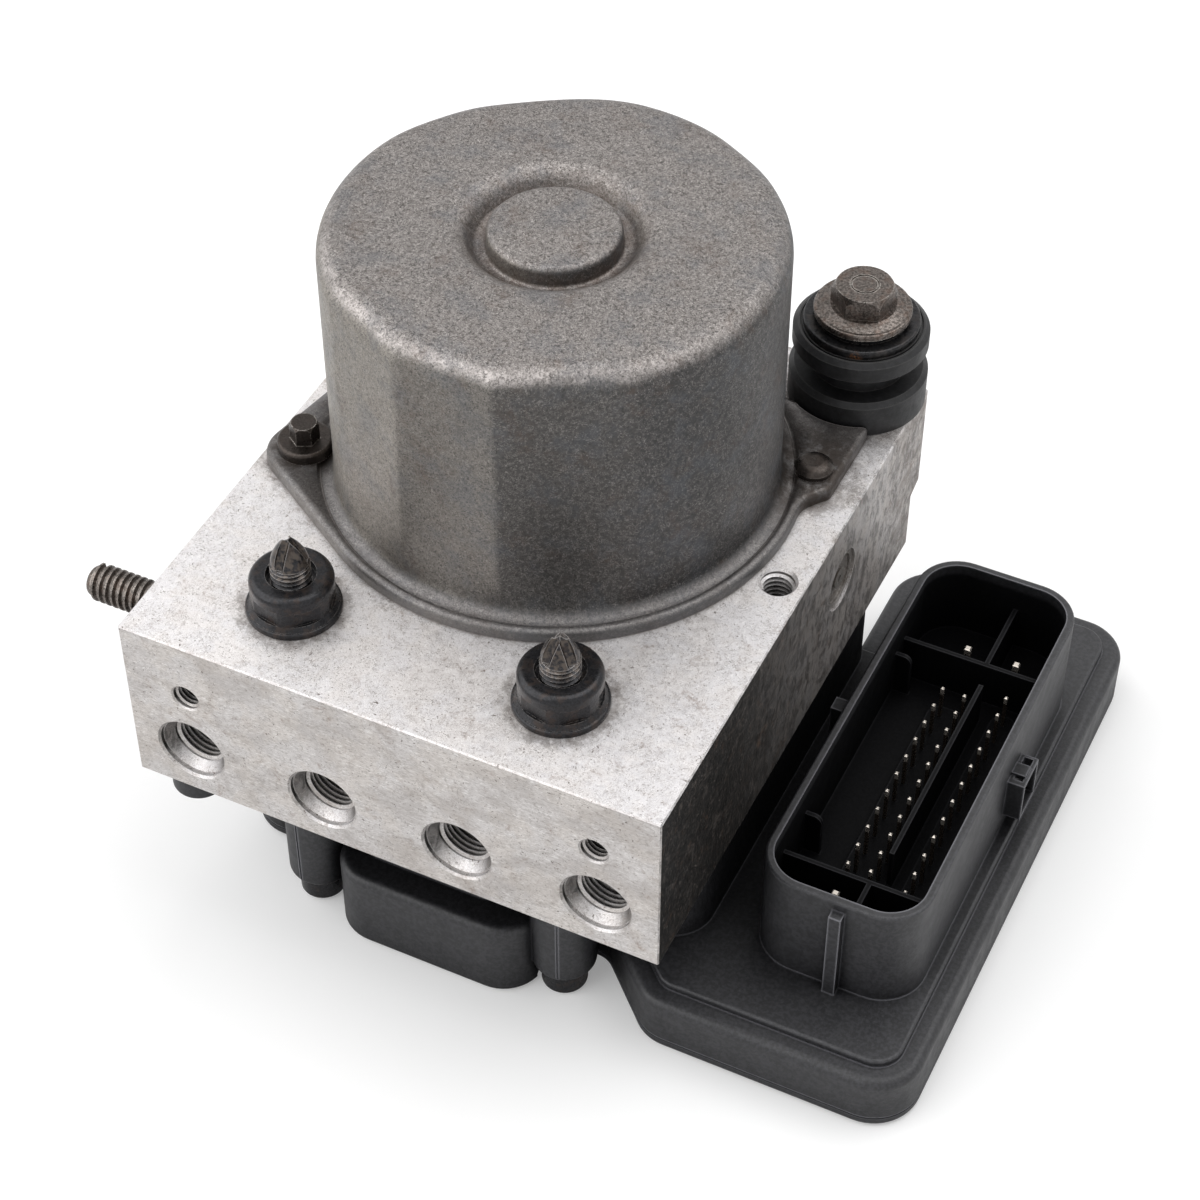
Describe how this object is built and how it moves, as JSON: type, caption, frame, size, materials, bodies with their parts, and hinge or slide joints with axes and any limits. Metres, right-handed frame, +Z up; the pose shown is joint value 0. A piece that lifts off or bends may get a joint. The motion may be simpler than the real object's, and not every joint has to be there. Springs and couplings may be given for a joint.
{
  "type": "anti-lock brake hydraulic unit",
  "caption": "Anti-lock brake unit: machined valve block with pipe ports, round pump motor, stud and rubber mount, and an electronics housing with an open plug socket.",
  "frame": {"origin": "on the pump motor's axis, in the plane of the electronics cover's underside", "axes": "+X to the right, towards the plug connector; +Y to the back, away from the pipe ports; +Z up along the motor axis"},
  "size_m": [0.1615, 0.1325, 0.1264],
  "materials": {
    "block_aluminium": "machined, stained and scratched",
    "can_steel": "matt galvanised, worn on its edges",
    "dark_steel": "dark phosphated with a trace of rust",
    "bolt_steel": "dull grey brown",
    "worn_zinc": "dull dark, rust spotted",
    "mount_rubber": "matt, slightly polished",
    "housing_plastic": "fine grained",
    "cover_plastic": "fine grained",
    "seal_rubber": "matt",
    "plug_metal": "turned, grey",
    "hard_steel": "ground",
    "bearing_steel": "polished",
    "spring_steel": "drawn wire",
    "lamination_steel": "stacked sheet",
    "copper": "enamelled copper",
    "magnet": "sintered ferrite",
    "carbon": "pressed carbon",
    "coil_plastic": "wound coil under resin",
    "contact_metal": "tin plated",
    "board": "lacquered",
    "chip_plastic": "moulded",
    "capacitor_sleeve": "shrunk sleeve"
  },
  "bodies": {
    "unit": {"valve_body": "block_aluminium", "motor_housing": "can_steel", "long_screws": "dark_steel", "flange_nuts": "dark_steel", "rear_screws": "dark_steel", "motor_bolts": "bolt_steel", "mount_bolt": "bolt_steel", "side_stud": "bolt_steel", "mount_washer": "bolt_steel", "mount_sleeve": "worn_zinc", "mount_grommet": "mount_rubber", "electronics_housing": "housing_plastic", "electronics_cover": "cover_plastic", "locating_plug": "cover_plastic", "brush_holder": "cover_plastic", "motor_lead": "cover_plastic", "motor_seal": "seal_rubber", "housing_seal": "seal_rubber", "accumulator_cap_left": "plug_metal", "accumulator_cap_right": "plug_metal", "pump_plug": "plug_metal", "inlet_valves": "hard_steel", "outlet_valves": "hard_steel", "lower_bearing": "bearing_steel", "upper_bearing": "bearing_steel", "brush_spring_left": "spring_steel", "brush_spring_right": "spring_steel", "pump_spring_left": "spring_steel", "pump_spring_right": "spring_steel", "accumulator_spring_left": "spring_steel", "accumulator_spring_right": "spring_steel", "magnets": "magnet", "inlet_coils": "coil_plastic", "outlet_coils": "coil_plastic", "signal_pins": "contact_metal", "power_pins": "contact_metal", "circuit_board": "board", "control_chip": "chip_plastic", "capacitor": "capacitor_sleeve"},
    "rotor": {"rotor_shaft": "hard_steel", "armature_core": "lamination_steel", "armature_windings": "copper", "commutator": "copper", "eccentric_bearing": "bearing_steel"},
    "pump_plunger_left": {"pump_plunger_left": "hard_steel"},
    "brush_left": {"brush_left": "carbon"},
    "pump_plunger_right": {"pump_plunger_right": "hard_steel"},
    "brush_right": {"brush_right": "carbon"},
    "accumulator_piston_left": {"accumulator_piston_left": "hard_steel"},
    "accumulator_piston_right": {"accumulator_piston_right": "hard_steel"},
    "inlet_armature_1": {"inlet_armature_1": "hard_steel"},
    "inlet_armature_2": {"inlet_armature_2": "hard_steel"},
    "inlet_armature_3": {"inlet_armature_3": "hard_steel"},
    "inlet_armature_4": {"inlet_armature_4": "hard_steel"},
    "outlet_armature_1": {"outlet_armature_1": "hard_steel"},
    "outlet_armature_2": {"outlet_armature_2": "hard_steel"},
    "outlet_armature_3": {"outlet_armature_3": "hard_steel"},
    "outlet_armature_4": {"outlet_armature_4": "hard_steel"}
  },
  "joints": [
    {"name": "rotor_spin", "type": "hinge", "parent": "unit", "child": "rotor", "pos_m": [0, 0, 0.068], "axis": [0, 0, 1], "continuous": true},
    {"name": "pump_stroke_left", "type": "slide", "parent": "unit", "child": "pump_plunger_left", "axis": [-1, 0, 0], "range_m": [0, 0.0016], "stiffness_N_per_m": 1800, "springref_m": -0.003, "deforming": ["pump_spring_left"]},
    {"name": "brush_feed_left", "type": "slide", "parent": "unit", "child": "brush_left", "axis": [-1, 0, 0], "range_m": [0, 0.002], "stiffness_N_per_m": 150, "springref_m": -0.003, "deforming": ["brush_spring_left"]},
    {"name": "pump_stroke_right", "type": "slide", "parent": "unit", "child": "pump_plunger_right", "axis": [1, 0, 0], "range_m": [0, 0.0016], "stiffness_N_per_m": 1800, "springref_m": -0.003, "deforming": ["pump_spring_right"]},
    {"name": "brush_feed_right", "type": "slide", "parent": "unit", "child": "brush_right", "axis": [1, 0, 0], "range_m": [0, 0.002], "stiffness_N_per_m": 150, "springref_m": -0.003, "deforming": ["brush_spring_right"]},
    {"name": "accumulator_stroke_left", "type": "slide", "parent": "unit", "child": "accumulator_piston_left", "axis": [-1, 0, 0], "range_m": [0, 0.009], "stiffness_N_per_m": 400, "springref_m": -0.006, "deforming": ["accumulator_spring_left"]},
    {"name": "accumulator_stroke_right", "type": "slide", "parent": "unit", "child": "accumulator_piston_right", "axis": [1, 0, 0], "range_m": [0, 0.009], "stiffness_N_per_m": 400, "springref_m": -0.006, "deforming": ["accumulator_spring_right"]},
    {"name": "inlet_valve_1", "type": "slide", "parent": "unit", "child": "inlet_armature_1", "axis": [0, 0, 1], "range_m": [0, 0.0005], "stiffness_N_per_m": 1200, "springref_m": -0.002},
    {"name": "inlet_valve_2", "type": "slide", "parent": "unit", "child": "inlet_armature_2", "axis": [0, 0, 1], "range_m": [0, 0.0005], "stiffness_N_per_m": 1200, "springref_m": -0.002},
    {"name": "inlet_valve_3", "type": "slide", "parent": "unit", "child": "inlet_armature_3", "axis": [0, 0, 1], "range_m": [0, 0.0005], "stiffness_N_per_m": 1200, "springref_m": -0.002},
    {"name": "inlet_valve_4", "type": "slide", "parent": "unit", "child": "inlet_armature_4", "axis": [0, 0, 1], "range_m": [0, 0.0005], "stiffness_N_per_m": 1200, "springref_m": -0.002},
    {"name": "outlet_valve_1", "type": "slide", "parent": "unit", "child": "outlet_armature_1", "axis": [0, 0, 1], "range_m": [0, 0.0005], "stiffness_N_per_m": 1200, "springref_m": -0.002},
    {"name": "outlet_valve_2", "type": "slide", "parent": "unit", "child": "outlet_armature_2", "axis": [0, 0, 1], "range_m": [0, 0.0005], "stiffness_N_per_m": 1200, "springref_m": -0.002},
    {"name": "outlet_valve_3", "type": "slide", "parent": "unit", "child": "outlet_armature_3", "axis": [0, 0, 1], "range_m": [0, 0.0005], "stiffness_N_per_m": 1200, "springref_m": -0.002},
    {"name": "outlet_valve_4", "type": "slide", "parent": "unit", "child": "outlet_armature_4", "axis": [0, 0, 1], "range_m": [0, 0.0005], "stiffness_N_per_m": 1200, "springref_m": -0.002}
  ]
}
